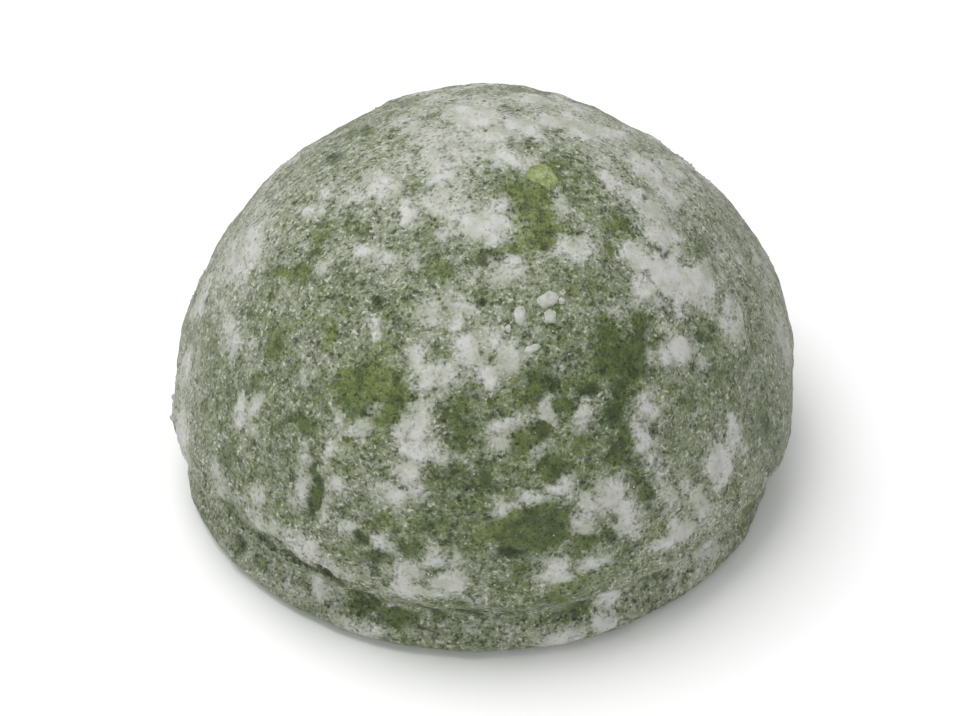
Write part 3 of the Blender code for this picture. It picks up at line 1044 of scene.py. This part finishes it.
# %% The dough's material
def dough_material():
    material, tree, shader = new_material("herb dough")
    place = tree.nodes.new("ShaderNodeTexCoord").outputs["Object"]
    broad = noise_node(tree, place, 5.0 * MM, 2)
    small = noise_node(tree, place, 1.1 * MM, 2)
    flecks = noise_node(tree, place, 0.42 * MM, 1)
    yellow = value_of(tree, "yellow")
    lean = math_node(tree, "ADD", math_node(tree, "MULTIPLY", yellow, 0.6),
                     math_node(tree, "MULTIPLY", math_node(tree, "SUBTRACT", broad, 0.5), 2.2))
    colour = mix_colours(tree, remap(tree, lean, 0.0, 0.8), DOUGH_GREEN, DOUGH_YELLOW)
    colour = mix_colours(tree, remap(tree, lean, -0.15, -1.1), colour, DOUGH_BLUISH)
    colour = mix_colours(tree, remap(tree, small, 0.54, 0.36, 0.0, 0.60), colour, DOUGH_DARK_AND_SHADE)
    colour = mix_colours(tree, remap(tree, flecks, 0.36, 0.28, 0.0, 0.8), colour, DOUGH_DARK_AND_SHADE)
    # painted shade in the hollows and the crease, partly the dough's own darker green
    dark_and_shade = math_node(tree, "MULTIPLY", value_of(tree, "dark_and_shade"), 0.8)
    colour = mix_colours(tree, dark_and_shade, colour, DOUGH_DARK_AND_SHADE)
    cover, crust, grit_light_and_shade, height = add_film(tree, value_of(tree, "film"),
                                          value_of(tree, "caking"), value_of(tree, "coarse"))
    colour = mix_colours(tree, cover, colour, FILM_STARCH)
    clouds = noise_node(tree, place, 2.0 * MM, 4)
    packed = mix_colours(tree, remap(tree, clouds, 0.38, 0.58, 0.0, 1.0), FILM_STARCH, STARCH)
    # the grit's painted light and shade makes the colour brighter or darker
    colour = brightened(tree, mix_colours(tree, crust, colour, packed), grit_light_and_shade)
    white = math_node(tree, "MAXIMUM", cover, crust)
    link_all(tree, (colour, shader.inputs["Base Color"]),
             (remap(tree, white, 0, 0.7, 0.40, 0.88), shader.inputs["Roughness"]),
             (bumped(tree, height, 0.16 * MM, 0.9), shader.inputs["Normal"]))
    shader.inputs["Specular IOR Level"].default_value = 0.25
    shader.inputs["Sheen Weight"].default_value = 0.06
    shader.inputs["Sheen Roughness"].default_value = 0.6
    let_light_in(shader, 0.12)
    return material

# %% [markdown]
# ## The loose starch and the nub
# Dry starch is the dullest of stuffs: white, with no shine at all. A grain or a crumb isn't quite
# even, though. It is greyer where it is thin or damp, and its surface crumbles, which is too fine
# for the mesh and is left to a bump.
#
# The nub is a paler, yellower green than the dough, as the stalk of a leaf is. Like the dough it
# lets a little light in, and some starch clings to it.

# %% The materials of the loose pieces
def grain_material():
    material, tree, shader = new_material("loose starch")
    place = tree.nodes.new("ShaderNodeTexCoord").outputs["Object"]
    clouds = noise_node(tree, place, 0.7 * MM, 2)
    crumbling = noise_node(tree, place, 0.3 * MM, 2)
    colour = mix_colours(tree, remap(tree, clouds, 0.34, 0.64), FILM_STARCH, STARCH)
    link_all(tree, (colour, shader.inputs["Base Color"]),
             (bumped(tree, crumbling, 0.10 * MM), shader.inputs["Normal"]))
    shader.inputs["Roughness"].default_value = 0.95
    shader.inputs["Specular IOR Level"].default_value = 0.3
    return material


def nub_material():
    material, tree, shader = new_material("pale leaf nub")
    place = tree.nodes.new("ShaderNodeTexCoord").outputs["Object"]
    clouds = noise_node(tree, place, 0.8 * MM, 3)
    grains = noise_node(tree, place, 0.25 * MM, 2)
    colour = mix_colours(tree, remap(tree, clouds, 0.36, 0.62), NUB_GREEN, NUB_PALE)
    colour = mix_colours(tree, remap(tree, grains, 0.50, 0.75), colour, FILM_STARCH)
    link_all(tree, (colour, shader.inputs["Base Color"]),
             (bumped(tree, grains, 0.10 * MM), shader.inputs["Normal"]))
    shader.inputs["Roughness"].default_value = 0.5
    let_light_in(shader, 0.2)
    return material


def give(piece, material):
    """Finishes a whole piece in one material."""
    piece.data.materials.clear()
    piece.data.materials.append(material)
    print(piece.name, "is finished in", material.name)


loose = grain_material()
give(dough_skin, dough_material())
give(dough_nub, nub_material())
for loose_piece in (starch_dust, starch_grains, starch_clumps, starch_crumbs):
    give(loose_piece, loose)

# %% [markdown]
# ## Stage, light and camera
# The cake lies on a plain pale table. The table is a wide disc, so that its edge stays far from
# the cake in every view.

# %% The table
def make_table():
    bm = bmesh.new()
    bmesh.ops.create_circle(bm, cap_ends=True, segments=96, radius=1.2)
    bmesh.ops.translate(bm, vec=(0, 0, low.z), verts=bm.verts)
    table = new_piece("table", bm)
    material, _, shader = new_material("pale table")
    shader.inputs["Base Color"].default_value = (0.92, 0.92, 0.915, 1)
    shader.inputs["Roughness"].default_value = 0.8
    give(table, material)


make_table()

# %% [markdown]
# A broad soft lamp hangs above the cake, a little behind and to the left, which leaves the lower
# front in a gentle shade. A weaker one fills in from the front, and the pale room from all round.

# %% The light
ROOM_COLOUR = (0.94, 0.95, 0.955, 1)
ROOM_STRENGTH = 0.53


def add_lamp(name, place, size, power):
    """A square soft lamp that points at the cake; size in metres, power in watts."""
    lamp = bpy.data.lights.new(name, "AREA")
    lamp.size = size
    lamp.energy = power
    carrier = bpy.data.objects.new(name, lamp)
    carrier.location = place
    aim = (HEART - carrier.location).to_track_quat("-Z", "Y")
    carrier.rotation_euler = aim.to_euler()
    bpy.context.scene.collection.objects.link(carrier)
    print(name, "hangs", round((place - HEART).length, 2), "m from the cake")


add_lamp("top lamp", Vector((-0.13, 0.08, 0.50)), 0.42, 2.3)
add_lamp("front fill", Vector((-0.06, -0.52, 0.18)), 0.55, 1.1)

room = bpy.data.worlds.new("room")
bpy.context.scene.world = room
room.use_nodes = True
room.node_tree.nodes["Background"].inputs["Color"].default_value = ROOM_COLOUR
room.node_tree.nodes["Background"].inputs["Strength"].default_value = ROOM_STRENGTH
bpy.context.scene.view_settings.view_transform = "Standard"

# %% [markdown]
# The camera looks down at the cake as someone does who is about to pick it up. It stands well back
# with a long lens, so the near foot doesn't swell.

# %% The camera
LOOK_DOWN = 43 * DEGREE
CAMERA_DISTANCE = 420 * MM
LENS = 176.1                # its focal length in mm, on a sensor 36 mm wide
AIM = Vector((-0.36, -1.9, 12.7)) * MM

camera_data = bpy.data.cameras.new("camera")
camera_data.sensor_width = 36
camera_data.lens = LENS
camera_data.clip_start = 0.01
camera = bpy.data.objects.new("camera", camera_data)
back = Vector((0, -math.cos(LOOK_DOWN), math.sin(LOOK_DOWN)))
camera.location = AIM + back * CAMERA_DISTANCE
camera.rotation_euler = (-back).to_track_quat("-Z", "Y").to_euler()
bpy.context.scene.collection.objects.link(camera)
bpy.context.scene.camera = camera
print("the camera looks down", round(LOOK_DOWN / DEGREE), "degrees from", CAMERA_DISTANCE, "m")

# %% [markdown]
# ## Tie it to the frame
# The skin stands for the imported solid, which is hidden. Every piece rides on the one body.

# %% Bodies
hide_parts(CAKE)
for piece, stuff in ((dough_skin, "herb_dough"), (dough_nub, "herb_dough"),
                     (starch_dust, "rice_starch"), (starch_grains, "rice_starch"),
                     (starch_clumps, "rice_starch"), (starch_crumbs, "rice_starch")):
    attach(piece, "root")
